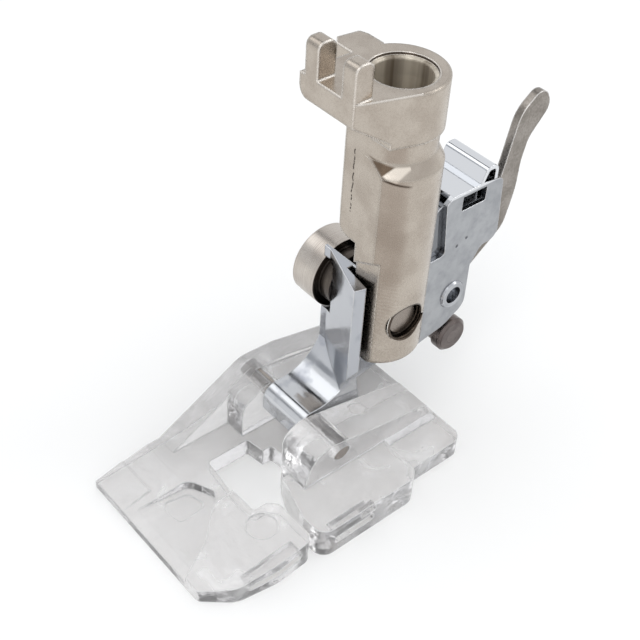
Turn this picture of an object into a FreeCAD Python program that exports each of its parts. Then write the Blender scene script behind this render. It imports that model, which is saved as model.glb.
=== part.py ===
import FreeCAD, Part
import math
import os
import Sketcher

# Sewing machine presser foot on a cone-socket adapter, in millimetres.
# +X is the sewer's right, +Y the back of the machine and +Z up. The origin lies on the
# presser bar's axis at the height of the sole, so the bed of the machine is Z = 0.

doc = FreeCAD.newDocument("PresserFoot")

# Driving sizes, one spreadsheet cell each
driving = {
    # Adapter: round shank, flat tongue and the head with its socket and prongs
    "shank_radius": 4.5,
    "shank_flat": 3.8,
    "tongue_bottom": 14.2,
    "tongue_face": 0.15,
    "tongue_flat": 3.42,
    "tongue_step": 25.4,
    "tongue_step_rise": 2.0,
    "shoulder_height": 27.6,
    "shoulder_rise": 1.9,
    "shoulder_round": 1.5,
    "neck_radius": 3.8,
    "neck_low": 36.1,
    "neck_cone": 1.3,
    "head_bottom": 39.4,
    "head_top": 44.45,
    "ring_radius": 4.45,
    "ring_shift": 0.4,
    "ring_edge": 0.25,
    "block_front": 7.3,
    "block_left": 4.95,
    "block_right": 1.95,
    "block_thick": 2.25,
    "block_round": 1.0,
    "lug_reach": 7.65,
    "lug_half": 1.6,
    "lug_round": 0.3,
    "prong_rise": 3.45,
    "prong_wide": 1.6,
    "prong_deep": 1.95,
    "prong_round": 0.7,
    "left_prong": 4.3,
    "socket_mouth": 3.1,
    "socket_radius": 2.7,
    "socket_land": 1.6,
    "socket_end": 1.9,
    "socket_depth": 9.0,
    "socket_step": 0.35,
    # Clamp screw
    "screw_height": 19.2,
    "screw_back": -0.35,
    "thread_radius": 2.0,
    "thread_clearance": 0.03,
    "screw_end": 3.7,
    "screw_head_radius": 3.95,
    "screw_head_thick": 3.3,
    "collar_radius": 3.15,
    "collar_thick": 1.5,
    "head_bevel": 0.2,
    "driver_slot": 1.0,
    "driver_depth": 1.2,
    # Ankle casting
    "plate_thick": 3.45,
    "ankle_left": 5.3,
    "ankle_top": 23.7,
    "spot_radius": 4.05,
    "slot_half": 2.15,
    "prong_back": 4.75,
    "lip_front": 5.24,
    "lip_right": 1.75,
    "lip_slant": 0.39,
    "lip_thick": 1.25,
    "lip_gap": 0.35,
    "relief_left": 1.3,
    "relief_back": 2.73,
    "lip_taper_drop": 6.3,
    "lip_foot": 3.45,
    "hook_right": 0.5,
    "hook_sweep": 5.2,
    "hook_back": 2.55,
    "nose_radius": 1.65,
    "hook_drop": 1.45,
    "wing_top": 27.2,
    "wing_right": 0.25,
    "wing_left": 4.45,
    "wing_back": 11.4,
    # Foot bar
    "bar_back": -8.45,
    "bar_height": 6.85,
    "bar_radius": 1.0,
    "bar_clearance": 0.05,
    "bar_left": 10.0,
    "bar_right": 5.3,
    # Lever and its pivot
    "pivot_back": 10.0,
    "pivot_height": 15.06,
    "rivet_radius": 1.3,
    "rivet_bore": 1.0,
    "rivet_flange": 1.65,
    "flange_thick": 0.25,
    "rivet_clearance": 0.04,
    "lever_thick": 0.9,
    "lever_right": 1.8,
    "lever_gap": 0.3,
    "lever_rise": 19.1,
    "lever_reach": 14.0,
    # Folded latch housing and spring strip
    "sheet": 0.55,
    "cover_top": 28.2,
    "cover_front": 8.1,
    "cover_back": 12.65,
    "spring_sheet": 0.4,
    "loop_radius": 0.75,
    "loop_rise": 1.65,
    "loop_heel": 0.1,
    "leaf_gap": 0.2,
    "leaf_low": 21.5,
    # Headed stud
    "stud_back": 11.3,
    "stud_height": 8.4,
    "stud_head_radius": 2.05,
    "stud_head_thick": 1.3,
    "stud_neck_radius": 1.7,
    "stud_neck": 0.9,
    "stud_pin_radius": 0.9,
    "stud_bevel": 0.35,
    # Clear sole
    "sole_left": 10.9,
    "sole_front": 27.3,
    "sole_back": 6.3,
    "sole_thick": 2.2,
    "toe_thick": 0.9,
    "toe_back": 21.0,
    "flange_right": 8.5,
    "side_right": 10.35,
    "side_front": 14.9,
    "side_back": 1.8,
    "side_block": 3.6,
    "front_block": 2.9,
    "front_block_toe": 1.5,
    "front_block_back": 15.35,
    "front_block_right": 9.6,
    "opening_left": 5.1,
    "opening_front": 17.9,
    "opening_back": 12.25,
    "opening_right": 3.3,
    "channel_floor": 1.15,
    "channel_dip": 0.15,
    "toe_ridge": 1.75,
    "mark_depth": 0.2,
    "block_mark": 1.6,
    "wall_mark": 0.95,
    "tape_slot": 0.9,
    "tape_depth": 1.5,
    "left_wall": 2.6,
    "left_inner": 5.8,
    "left_front": 12.4,
    "left_crest": 1.15,
    "right_inner": 1.0,
    "right_outer": 5.6,
    "right_lean": 0.9,
    "right_front": 12.6,
    "right_crest": 2.25,
    "wall_end": 3.4,
    "wall_end_drop": 0.7,
}


# A size holds its number and the spreadsheet formula that gives it
class Size:
    def __init__(self, number, formula):
        self.number = number
        self.formula = formula

    def __add__(self, other):
        return join(self, "+", other, self.number + number_of(other))

    def __sub__(self, other):
        return join(self, "-", other, self.number - number_of(other))

    def __rsub__(self, other):
        return join(other, "-", self, number_of(other) - self.number)

    def __mul__(self, other):
        return join(self, "*", other, self.number * number_of(other))

    def __rmul__(self, other):
        return join(other, "*", self, number_of(other) * self.number)


def number_of(size):
    return size.number if isinstance(size, Size) else float(size)


def formula_of(size):
    return size.formula if isinstance(size, Size) else f"{float(size):.6f}"


def join(left, sign, right, number):
    return Size(number, f"({formula_of(left)} {sign} {formula_of(right)})")


class Sizes:
    pass


def fill_sheet():
    sheet = doc.addObject("Spreadsheet::Sheet", "Sizes")
    sizes = Sizes()
    for row, (name, number) in enumerate(driving.items(), 1):
        sheet.set(f"A{row}", name)
        sheet.set(f"B{row}", str(number))
        sheet.setAlias(f"B{row}", name)
        setattr(sizes, name, Size(number, f"Sizes.{name}"))
    doc.recompute()
    return sizes


d = fill_sheet()
normal_sign = {"XY_Plane": 1, "XZ_Plane": -1, "YZ_Plane": 1}


def new_body(name, place=(0, 0, 0)):
    body = doc.addObject("PartDesign::Body", name)
    body.Label = name
    body.Placement = FreeCAD.Placement(FreeCAD.Vector(*map(number_of, place)), FreeCAD.Rotation())
    for axis, size in zip("xyz", place):
        if isinstance(size, Size):
            body.setExpression(f"Placement.Base.{axis}", size.formula)
    return body


def bind(item, path, size):
    if isinstance(size, Size):
        item.setExpression(path, size.formula)


def new_sketch(body, name, plane, offset=0):
    sketch = body.newObject("Sketcher::SketchObject", name)
    support = [face for face in body.Origin.OriginFeatures if face.Role == plane][0]
    sketch.AttachmentSupport = [(support, "")]
    sketch.MapMode = "FlatFace"
    shift = FreeCAD.Vector(0, 0, number_of(offset))
    sketch.AttachmentOffset = FreeCAD.Placement(shift, FreeCAD.Rotation())
    bind(sketch, "AttachmentOffset.Base.z", offset)
    return sketch


def dimension(sketch, kind, size, *where):
    name = f"size{sketch.ConstraintCount}"
    index = sketch.addConstraint(Sketcher.Constraint(kind, *where, number_of(size)))
    sketch.renameConstraint(index, name)
    bind(sketch, f"Constraints.{name}", size)


def place_point(sketch, item, end, across, up):
    for kind, size, axis in (("DistanceX", across, -2), ("DistanceY", up, -1)):
        if number_of(size) == 0:
            sketch.addConstraint(Sketcher.Constraint("PointOnObject", item, end, axis))
        else:
            dimension(sketch, kind, size, -1, 1, item, end)


# Where the arc of a rounded corner starts, ends and has its centre
def corner_arc(before, corner, after, radius):
    to_before = (before - corner).normalize()
    to_after = (after - corner).normalize()
    half = to_before.getAngle(to_after) / 2
    reach = radius / math.tan(half)
    middle = (to_before + to_after).normalize()
    return corner + to_before * reach, corner + to_after * reach, corner + middle * (radius / math.sin(half))


# A closed outline of straight lines, each corner (across, up) or (across, up, radius)
def outline(sketch, corners):
    vectors = [FreeCAD.Vector(number_of(c[0]), number_of(c[1]), 0) for c in corners]
    count = len(corners)
    starts, ends, centres = list(vectors), list(vectors), [None] * count
    for i, corner in enumerate(corners):
        if len(corner) == 3:
            previous, following = vectors[i - 1], vectors[(i + 1) % count]
            ends[i], starts[i], centres[i] = corner_arc(previous, vectors[i], following, number_of(corner[2]))
    for i in range(count):
        sketch.addGeometry(Part.LineSegment(starts[i], ends[(i + 1) % count]), False)
    for i, corner in enumerate(corners):
        before = (i - 1) % count
        if centres[i] is None:
            sketch.addConstraint(Sketcher.Constraint("Coincident", before, 2, i, 1))
            place_point(sketch, i, 1, corner[0], corner[1])
            continue
        turn = (ends[i] - centres[i]).cross(starts[i] - centres[i]).z
        first, last = (ends[i], starts[i]) if turn > 0 else (starts[i], ends[i])
        circle = Part.Circle(centres[i], FreeCAD.Vector(0, 0, 1), number_of(corner[2]))
        angles = [math.atan2(p.y - centres[i].y, p.x - centres[i].x) for p in (first, last)]
        arc = sketch.addGeometry(Part.ArcOfCircle(circle, *angles), False)
        point = sketch.addGeometry(Part.Point(vectors[i]), True)
        start_end, stop_end = (1, 2) if turn > 0 else (2, 1)
        sketch.addConstraint(Sketcher.Constraint("Tangent", before, 2, arc, start_end))
        sketch.addConstraint(Sketcher.Constraint("Tangent", i, 1, arc, stop_end))
        sketch.addConstraint(Sketcher.Constraint("PointOnObject", point, 1, before))
        sketch.addConstraint(Sketcher.Constraint("PointOnObject", point, 1, i))
        place_point(sketch, point, 1, corner[0], corner[1])
        dimension(sketch, "Radius", corner[2], arc)


def ring(sketch, across, up, radius):
    centre = FreeCAD.Vector(number_of(across), number_of(up), 0)
    item = sketch.addGeometry(Part.Circle(centre, FreeCAD.Vector(0, 0, 1), number_of(radius)), False)
    place_point(sketch, item, 3, across, up)
    dimension(sketch, "Radius", radius, item)


# A prism between two places along the plane's own axis, added or cut away
def prism(body, kind, name, plane, start, stop, corners=None, round_at=None):
    offset = start if normal_sign[plane] > 0 else -1 * stop
    sketch = new_sketch(body, name + "_sketch", plane, offset)
    if corners:
        outline(sketch, corners)
    if round_at:
        ring(sketch, *round_at)
    feature = body.newObject(f"PartDesign::{kind}", name)
    feature.Profile = sketch
    length = stop - start
    feature.Length = number_of(length)
    bind(feature, "Length", length)
    feature.Reversed = kind == "Pocket"
    return settle(body, feature)


def turning(body, kind, name, plane, axis, corners, angle=360):
    sketch = new_sketch(body, name + "_sketch", plane)
    outline(sketch, corners)
    feature = body.newObject(f"PartDesign::{kind}", name)
    feature.Profile = sketch
    feature.ReferenceAxis = (sketch, [axis])
    feature.Angle = angle
    feature.Midplane = angle < 360
    return settle(body, feature)


# Recomputes and stops at a feature that failed or changed nothing
def settle(body, feature):
    before = getattr(feature.BaseFeature, "Shape", None) if feature.BaseFeature else None
    doc.recompute()
    if "Invalid" in feature.State or feature.Shape.isNull() or not feature.Shape.isValid():
        raise RuntimeError(f"{body.Label}: {feature.Name} failed {feature.State}")
    if before is not None and abs(before.Volume - feature.Shape.Volume) < 1e-6:
        raise RuntimeError(f"{body.Label}: {feature.Name} changed nothing")
    return feature


# Fillet or chamfer of the edges that a test picks by their middle point and direction
def soften(body, kind, name, size, picked):
    base = body.Tip
    names = [f"Edge{i}" for i, edge in enumerate(base.Shape.Edges, 1) if picked(edge)]
    if not names:
        raise RuntimeError(f"{body.Label}: {name} found no edge")
    feature = body.newObject(f"PartDesign::{kind}", name)
    feature.Base = (base, names)
    path = "Radius" if kind == "Fillet" else "Size"
    setattr(feature, path, number_of(size))
    bind(feature, path, size)
    return settle(body, feature)


def near(a, b, slack=0.02):
    return abs(number_of(a) - number_of(b)) < slack


def middle_of(edge):
    return edge.valueAt((edge.FirstParameter + edge.LastParameter) / 2)


def adapter_body():
    body = new_body("adapter_body")
    wide = d.shank_radius + 2
    turning(body, "Revolution", "shank", "XZ_Plane", "V_Axis", [
        (0, d.tongue_bottom), (d.shank_radius, d.tongue_bottom, 0.5),
        (d.shank_radius, d.head_bottom), (0, d.head_bottom)])
    # The neck is turned on the right half only
    turning(body, "Groove", "neck", "XZ_Plane", "V_Axis", [
        (d.neck_radius, d.neck_low + d.neck_cone), (d.shank_radius + 0.01, d.neck_low),
        (wide, d.neck_low), (wide, d.head_bottom + 1), (d.neck_radius, d.head_bottom + 1)], 180)
    prism(body, "Pocket", "front_flat", "XY_Plane", d.tongue_bottom - 1, d.head_bottom + 1, [
        (-1 * wide, -1 * wide), (wide, -1 * wide), (wide, -1 * d.shank_flat),
        (-1 * wide, -1 * d.shank_flat)])
    low = d.tongue_bottom - 1
    # Deeper flat on the front of the tongue, ending in a slanted step
    prism(body, "Pocket", "tongue_front", "XZ_Plane", -1 * wide, -1 * d.tongue_flat, [
        (-1 * wide, low), (wide, low), (wide, d.tongue_step + 1.55 * d.tongue_step_rise),
        (-1 * d.tongue_face, d.tongue_step), (-1 * wide, d.tongue_step)])
    # Everything left of the tongue's face, up to the rounded shoulder
    prism(body, "Pocket", "tongue_left", "XZ_Plane", -1 * wide, wide, [
        (-1 * wide, low), (-1 * d.tongue_face, low),
        (-1 * d.tongue_face, d.shoulder_height),
        (-0.6 * d.shank_radius, d.shoulder_height, d.shoulder_round),
        (-0.6 * d.shank_radius, d.shoulder_height + d.shoulder_rise),
        (-1 * wide, d.shoulder_height + 1.6 * d.shoulder_rise)])
    adapter_head(body)
    adapter_socket(body)
    return body


def adapter_head(body):
    prism(body, "Pad", "ring", "XY_Plane", d.head_bottom, d.head_top,
          round_at=(-1 * d.ring_shift, 0, d.ring_radius))
    soften(body, "Fillet", "ring_edge", d.ring_edge, lambda edge: near(edge.BoundBox.ZMin, d.head_top))
    right = d.block_right.number + d.ring_shift.number
    reach = math.hypot(right, d.block_front.number)
    turn = math.acos(d.ring_radius.number / reach) - math.atan2(d.block_front.number, right)
    touch = (d.ring_radius * math.cos(turn) - d.ring_shift, d.ring_radius * math.sin(turn))
    prism(body, "Pad", "block", "XY_Plane", d.head_bottom, d.head_top, [
        (-1 * d.block_left, -1 * d.block_front), (d.block_right, -1 * d.block_front), touch,
        (-1 * d.ring_shift, 0), (-1 * d.ring_shift - 0.98 * d.ring_radius, 0)])
    prism(body, "Pad", "lug", "XY_Plane", d.head_top - d.block_thick, d.head_top, [
        (0.8 - d.lug_reach, -1 * d.lug_half), (-1 * d.ring_radius, -1 * d.lug_half),
        (-1 * d.ring_radius, d.lug_half + 0.2), (1.2 - d.lug_reach, d.lug_half + 0.2, d.lug_round),
        (0.3 - d.lug_reach, d.lug_half - 0.1, d.lug_round), (-1 * d.lug_reach, 0.7 - d.lug_half)])
    # Slanted underside of the block
    under = d.head_top - d.block_thick
    prism(body, "Pocket", "underside", "YZ_Plane", -1 * d.block_left - 1, d.shank_radius + 1, [
        (-1 * d.block_front - 1, d.head_bottom - 1), (-1 * d.shank_flat, d.head_bottom - 1),
        (-1 * d.shank_flat, d.head_bottom + 0.6), (-1 * d.block_front, under),
        (-1 * d.block_front - 1, under)])
    soften(body, "Fillet", "block_corner", d.block_round, on_block_corner)
    front = -1 * d.block_front
    for name, left in (("left_prong", d.left_prong), ("right_prong", d.prong_wide - d.block_right)):
        prism(body, "Pad", name, "YZ_Plane", -1 * left, d.prong_wide - left, [
            (front, d.head_top - 0.5), (front + d.prong_deep, d.head_top - 0.5),
            (front + d.prong_deep, d.head_top + d.prong_rise, d.prong_round),
            (front, d.head_top + d.prong_rise, d.prong_round)])


# The lower left edge of the block, between its left side and its slanted underside
def on_block_corner(edge):
    point = middle_of(edge)
    low = d.head_top.number - d.block_thick.number
    return near(point.x, -1 * d.block_left, 0.1) and point.y < -1 * d.shank_flat.number and point.z < low


def adapter_socket(body):
    top = d.head_top
    turning(body, "Groove", "socket", "XZ_Plane", "V_Axis", [
        (0, top - d.socket_depth), (d.socket_end, top - d.socket_depth),
        (d.socket_radius, top - d.socket_step - d.socket_land), (d.socket_radius, top - d.socket_step),
        (d.socket_mouth, top - d.socket_step + 0.1), (d.socket_mouth, top + 1), (0, top + 1)])
    hole = d.thread_radius + d.thread_clearance
    prism(body, "Pocket", "screw_hole", "YZ_Plane", -1 * d.tongue_face - 1, d.shank_radius + 1,
          round_at=(d.screw_back, d.screw_height, hole))


def thumb_screw():
    body = new_body("thumb_screw", (0, d.screw_back, d.screw_height))
    seat = -1 * (d.tongue_face + d.plate_thick)
    collar = seat - d.collar_thick
    far = collar - d.screw_head_thick
    tip = 0.4
    turning(body, "Revolution", "turned_screw", "XZ_Plane", "H_Axis", [
        (far, 0), (far, d.screw_head_radius - d.head_bevel), (far + d.head_bevel, d.screw_head_radius),
        (collar, d.screw_head_radius), (collar, d.collar_radius), (seat, d.collar_radius),
        (seat, d.thread_radius), (d.screw_end - tip, d.thread_radius),
        (d.screw_end, d.thread_radius - tip), (d.screw_end, 0)])
    # Screwdriver slot across the outer face, sloped at three to four
    half = 0.5 * d.driver_slot
    past = d.screw_head_radius + 1
    prism(body, "Pocket", "driver_slot", "YZ_Plane", far - 1, far + d.driver_depth, [
        (0.8 * past + 0.6 * half, 0.6 * past - 0.8 * half),
        (0.8 * past - 0.6 * half, 0.6 * past + 0.8 * half),
        (-0.8 * past - 0.6 * half, 0.8 * half - 0.6 * past),
        (0.6 * half - 0.8 * past, -0.6 * past - 0.8 * half)])
    return body


def ankle_body():
    body = new_body("ankle_body")
    left = -1 * d.ankle_left
    face = -1 * d.tongue_face
    # Hook over the bar, its concave sweep and the heel behind the jaw
    bar = d.bar_height
    nose = d.bar_back - d.nose_radius
    jaw = d.bar_back + d.bar_radius + d.bar_clearance
    hook_top = bar + d.nose_radius
    hook_low = bar - d.hook_drop
    joined = bar + 7.15
    prism(body, "Pad", "hook", "YZ_Plane", left, d.hook_right, [
        (-1 * d.hook_back, hook_top, d.hook_sweep), (nose, hook_top, d.nose_radius),
        (nose, hook_low, 0.3), (jaw, hook_low), (jaw + 5.6, hook_low + 0.2),
        (jaw + 5.05, bar + 1.75), (jaw + 4.8, bar + 3.05), (jaw + 7.9, bar + 3.75), (jaw + 7.9, joined),
        (-1 * d.hook_back, joined)])
    lip_line = [(x, -1 * d.lip_front + d.lip_slant * (d.lip_right - x)) for x in (d.lip_right, left)]
    back = -1 * (d.tongue_flat + d.lip_gap)
    lip_low = bar + d.lip_foot
    prism(body, "Pad", "clamp_block", "XY_Plane", lip_low - 1, d.ankle_top, [
        lip_line[1], lip_line[0], (d.lip_right + 0.35, d.lip_thick - d.lip_front),
        (-1 * d.relief_left, back + 0.35), (-1 * d.relief_left, 0.5 - d.relief_back),
        (left, 0.5 - d.relief_back)])
    prism(body, "Pad", "plate", "YZ_Plane", left, face, [
        (-1 * d.relief_back - 0.1, bar + 3.15), (-1, bar + 3.55), (d.prong_back, bar + 5.45),
        (d.prong_back, d.ankle_top, 0.6), (-1 * d.relief_back - 0.1, d.ankle_top)])
    prism(body, "Pocket", "relief", "XY_Plane", d.tongue_bottom - 0.7, d.ankle_top + 1, [
        (-1 * d.relief_left, -1 * d.relief_back), (-1 * d.relief_left, back + 0.35),
        (3, back + 0.35), (3, -1 * d.relief_back)])
    ankle_wing(body)
    ankle_cuts(body, left, face, jaw, hook_low, lip_low)
    return body


def ankle_wing(body):
    # Rear wing that the folded housing straddles, with the ear for the headed stud
    front = d.prong_back
    pivot = d.pivot_height
    shoulder = d.wing_top - 1.8
    prism(body, "Pad", "wing", "YZ_Plane", -1 * d.wing_left, d.wing_right, [
        (front, pivot - 4.06), (d.pivot_back - 1, pivot - 3.46), (d.wing_back, pivot - 2.26, 1.0),
        (d.wing_back, shoulder, 0.5), (d.cover_front + 1, shoulder), (d.cover_front + 1, d.wing_top, 0.4),
        (front + 1.4, d.wing_top, 1.6), (front + 1, d.ankle_top - 1.7),
        (front, d.ankle_top - 2.7)])
    root_top = d.ankle_top - 3.2
    prism(body, "Pad", "wing_root", "YZ_Plane", -1 * d.wing_left, -1 * d.tongue_face, [
        (front - 1, pivot - 3.56), (front + 1, pivot - 3.56), (front + 1, root_top), (front - 1, root_top)])
    ear = d.lever_right + d.lever_thick + d.lever_gap
    low = d.stud_height - d.stud_neck_radius
    prism(body, "Pad", "ear", "YZ_Plane", -1 * d.wing_left, -1 * ear, [
        (d.stud_back - 1.9, pivot - 2.56), (d.stud_back - 1.9, low, 1.6), (d.stud_back + 1.6, low, 1.6),
        (d.stud_back + 1.6, d.stud_height + 1.5, 1.5), (d.wing_back - 0.1, pivot - 2.16)])


def ankle_cuts(body, left, face, jaw, hook_low, lip_low):
    seat = face - d.plate_thick
    prism(body, "Pocket", "spotface", "YZ_Plane", left - 1, seat,
          round_at=(d.screw_back, d.screw_height, d.spot_radius))
    top = d.ankle_top + 1
    front_side = d.screw_back - d.slot_half
    back_side = d.screw_back + d.slot_half
    low = d.screw_height - d.slot_half
    round_low = d.slot_half - 0.02
    prism(body, "Pocket", "screw_slot", "YZ_Plane", left - 1, face + 0.5, [
        (front_side, top), (front_side, low, round_low), (back_side, low, round_low), (back_side, top)])
    # The lip narrows below the taper's top down to the hook's side
    taper_top = d.screw_height - d.lip_taper_drop
    prism(body, "Pocket", "lip_taper", "XZ_Plane", -1 * d.lip_front - 1, -1 * d.relief_back + 0.2, [
        (d.lip_right + 1, taper_top), (d.lip_right + 0.35, taper_top), (d.lip_right - 0.1, lip_low + 1.7),
        (d.hook_right, lip_low), (d.hook_right, lip_low - 2), (d.lip_right + 1, lip_low - 2)])
    seat_radius = d.bar_radius + d.bar_clearance
    prism(body, "Pocket", "bar_seat", "YZ_Plane", left - 1, d.hook_right + 1,
          round_at=(d.bar_back, d.bar_height, seat_radius))
    prism(body, "Pocket", "jaw", "YZ_Plane", left - 1, d.hook_right + 1, [
        (d.bar_back - seat_radius, hook_low - 1), (jaw, hook_low - 1), (jaw, d.bar_height),
        (d.bar_back - seat_radius, d.bar_height)])
    slot_left = -1 * (d.lever_right + d.lever_thick + d.lever_gap)
    slot_right = d.lever_gap - d.lever_right
    prism(body, "Pocket", "lever_slot", "YZ_Plane", slot_left, slot_right, lever_slot(jaw, hook_low))
    hole = d.rivet_radius + d.rivet_clearance
    prism(body, "Pocket", "rivet_hole", "YZ_Plane", left - 1, d.wing_right + 1,
          round_at=(d.pivot_back, d.pivot_height, hole))
    prism(body, "Pocket", "stud_hole", "YZ_Plane", left - 1, slot_left + 1,
          round_at=(d.stud_back, d.stud_height, d.stud_pin_radius))


# The lever's slot, seen from the side: a shallow run over the heel, open behind
def lever_slot(jaw, hook_low):
    bar = d.bar_height
    pivot = d.pivot_height
    return [
        (jaw - 0.5, hook_low - 2), (jaw - 0.5, bar + 0.65), (jaw + 2.0, bar + 1.1),
        (jaw + 4.2, bar + 2.75), (jaw + 6.2, bar + 6.05), (d.pivot_back - 7, pivot - 0.16),
        (d.pivot_back - 3.4, pivot + 3.34), (d.pivot_back - 3.4, d.wing_top + 1),
        (d.wing_back + 3, d.wing_top + 1), (d.wing_back + 3, hook_low - 2)]


# The lever's outline: offsets from the pivot for the handle, from the bar for the latch
def lever_profile(jaw):
    bar = d.bar_height
    back = d.pivot_back
    pivot = d.pivot_height
    end = d.pivot_height + d.lever_rise
    tip = d.pivot_back + d.lever_reach
    return [
        (tip - 1.35, end + 0.35, 1.3), (tip + 0.15, end - 2.4, 1.6), (tip - 2.5, end - 5.45, 2.5),
        (tip - 3.1, end - 8.0, 6.0), (back + 10.85, pivot + 7.5, 10.0), (back + 9.8, pivot + 3.1, 2.5),
        (back + 3.6, pivot - 1.7, 3.0), (back - 0.4, pivot - 2.86, 2.0), (back - 7.0, pivot - 4.46, 5.0),
        (jaw + 4.0, bar - 1.25, 2.0), (jaw + 0.35, bar - 1.35, 0.3), (jaw + 0.35, bar + 0.25, 0.3),
        (jaw + 1.9, bar + 0.55, 2.0), (jaw + 4.5, bar + 2.15, 3.0), (jaw + 6.5, bar + 5.55, 2.0),
        (back - 6.5, pivot - 0.66, 3.0), (back - 2.0, pivot + 2.54, 1.5), (back + 3.6, pivot + 3.24, 4.0),
        (back + 8.0, pivot + 9.4, 8.0), (tip - 4.4, end - 2.0, 3.5)]


def release_lever():
    body = new_body("release_lever")
    jaw = d.bar_back + d.bar_radius + d.bar_clearance
    prism(body, "Pad", "blade", "YZ_Plane", -1 * (d.lever_right + d.lever_thick), -1 * d.lever_right,
          lever_profile(jaw))
    hole = d.rivet_radius + d.rivet_clearance
    prism(body, "Pocket", "pivot_hole", "YZ_Plane", -1 * d.wing_left, d.wing_right,
          round_at=(d.pivot_back, d.pivot_height, hole))
    return body


def plate_profile():
    back = d.pivot_back
    low = d.pivot_height
    top = d.cover_top
    front = d.prong_back + 0.45
    return [
        (front, low - 4.91), (back - 0.6, low - 4.06, 3.0), (back + 2.2, low - 2.46, 1.6),
        (back + 2.15, low + 2.94, 0.6), (back + 3.4, low + 4.94, 1.2), (back + 5.75, low + 5.04, 1.2),
        (back + 5.15, top - 0.4, 0.8), (d.cover_back, top), (d.cover_front, top),
        (d.cover_front - 0.8, top - 0.7), (d.cover_front - 0.15, top - 7.0, 0.5), (front, top - 7.1)]


def latch_housing():
    body = new_body("latch_housing")
    right = d.wing_right + d.sheet
    left = -1 * (d.wing_left + d.sheet)
    prism(body, "Pad", "right_plate", "YZ_Plane", d.wing_right, right, plate_profile())
    prism(body, "Pad", "cover", "XY_Plane", d.cover_top - d.sheet, d.cover_top, [
        (left, d.cover_front, 0.8), (right, d.cover_front, 0.8), (right, d.cover_back),
        (left, d.cover_back)])
    prism(body, "Pad", "left_plate", "YZ_Plane", left, -1 * d.wing_left, plate_profile())
    prism(body, "Pocket", "window", "YZ_Plane", left - 1, right + 1, [
        (d.cover_front + 1.4, d.cover_top - 2.25, 0.2), (d.cover_back + 0.2, d.cover_top - 2.25, 0.2),
        (d.cover_back + 0.2, d.cover_top - d.sheet), (d.cover_front + 1.4, d.cover_top - d.sheet)])
    hole = d.rivet_radius + d.rivet_clearance
    prism(body, "Pocket", "rivet_hole", "YZ_Plane", left - 1, right + 1,
          round_at=(d.pivot_back, d.pivot_height, hole))
    return body


def lever_spring():
    body = new_body("lever_spring")
    left = -1 * (d.wing_left + d.sheet)
    right = d.wing_right + d.sheet
    wall = d.spring_sheet
    front = d.cover_back
    back = front + 2 * d.loop_radius
    top = d.cover_top + d.loop_rise
    heel = d.cover_top - d.loop_heel
    # The loop's front side leans back from the cover, its rear side drops past it
    outer = d.loop_radius - 0.01
    inner = outer - wall
    prism(body, "Pad", "loop", "YZ_Plane", left, right, [
        (front - 0.8, d.cover_top), (front - 0.15, top, outer), (back, top, outer), (back, heel),
        (back - wall, heel), (back - wall, top - wall, inner), (front + 0.18, top - wall, inner),
        (front - 0.4, d.cover_top)])
    # The strip goes on down between the side plates, in front of the lever
    prism(body, "Pad", "leaf", "YZ_Plane", d.leaf_gap - d.wing_left, d.wing_right - d.leaf_gap, [
        (back - wall, d.leaf_low), (back, d.leaf_low), (back, d.cover_top), (back - wall, d.cover_top)])
    return body


def pivot_rivet():
    body = new_body("pivot_rivet", (0, d.pivot_back, d.pivot_height))
    right = d.wing_right + d.sheet
    left = -1 * (d.wing_left + d.sheet)
    floor = 0.9
    turning(body, "Revolution", "turned_rivet", "XZ_Plane", "H_Axis", [
        (left - d.flange_thick, 0), (left - d.flange_thick, d.rivet_flange - 0.1), (left, d.rivet_flange),
        (left, d.rivet_radius), (right, d.rivet_radius), (right, d.rivet_flange),
        (right + d.flange_thick, d.rivet_flange - 0.15), (right + d.flange_thick, d.rivet_bore),
        (right - floor, d.rivet_bore - 0.1), (right - floor, 0)])
    return body


def stop_stud():
    body = new_body("stop_stud", (0, d.stud_back, d.stud_height))
    face = d.wing_right + d.sheet
    back = face - d.stud_head_thick
    neck = back - d.stud_neck
    turning(body, "Revolution", "turned_stud", "XZ_Plane", "H_Axis", [
        (-1 * d.wing_left, 0), (-1 * d.wing_left, d.stud_pin_radius), (neck, d.stud_pin_radius),
        (neck, d.stud_neck_radius), (back, d.stud_neck_radius), (back, d.stud_head_radius),
        (face - d.stud_bevel, d.stud_head_radius), (face, d.stud_head_radius - d.stud_bevel), (face, 0)])
    return body


def foot_bar():
    body = new_body("foot_bar", (0, d.bar_back, d.bar_height))
    bevel = 0.15
    turning(body, "Revolution", "turned_bar", "XZ_Plane", "H_Axis", [
        (-1 * d.bar_left, 0), (-1 * d.bar_left, d.bar_radius - bevel), (bevel - d.bar_left, d.bar_radius),
        (d.bar_right - bevel, d.bar_radius), (d.bar_right, d.bar_radius - bevel), (d.bar_right, 0)])
    return body


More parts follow.
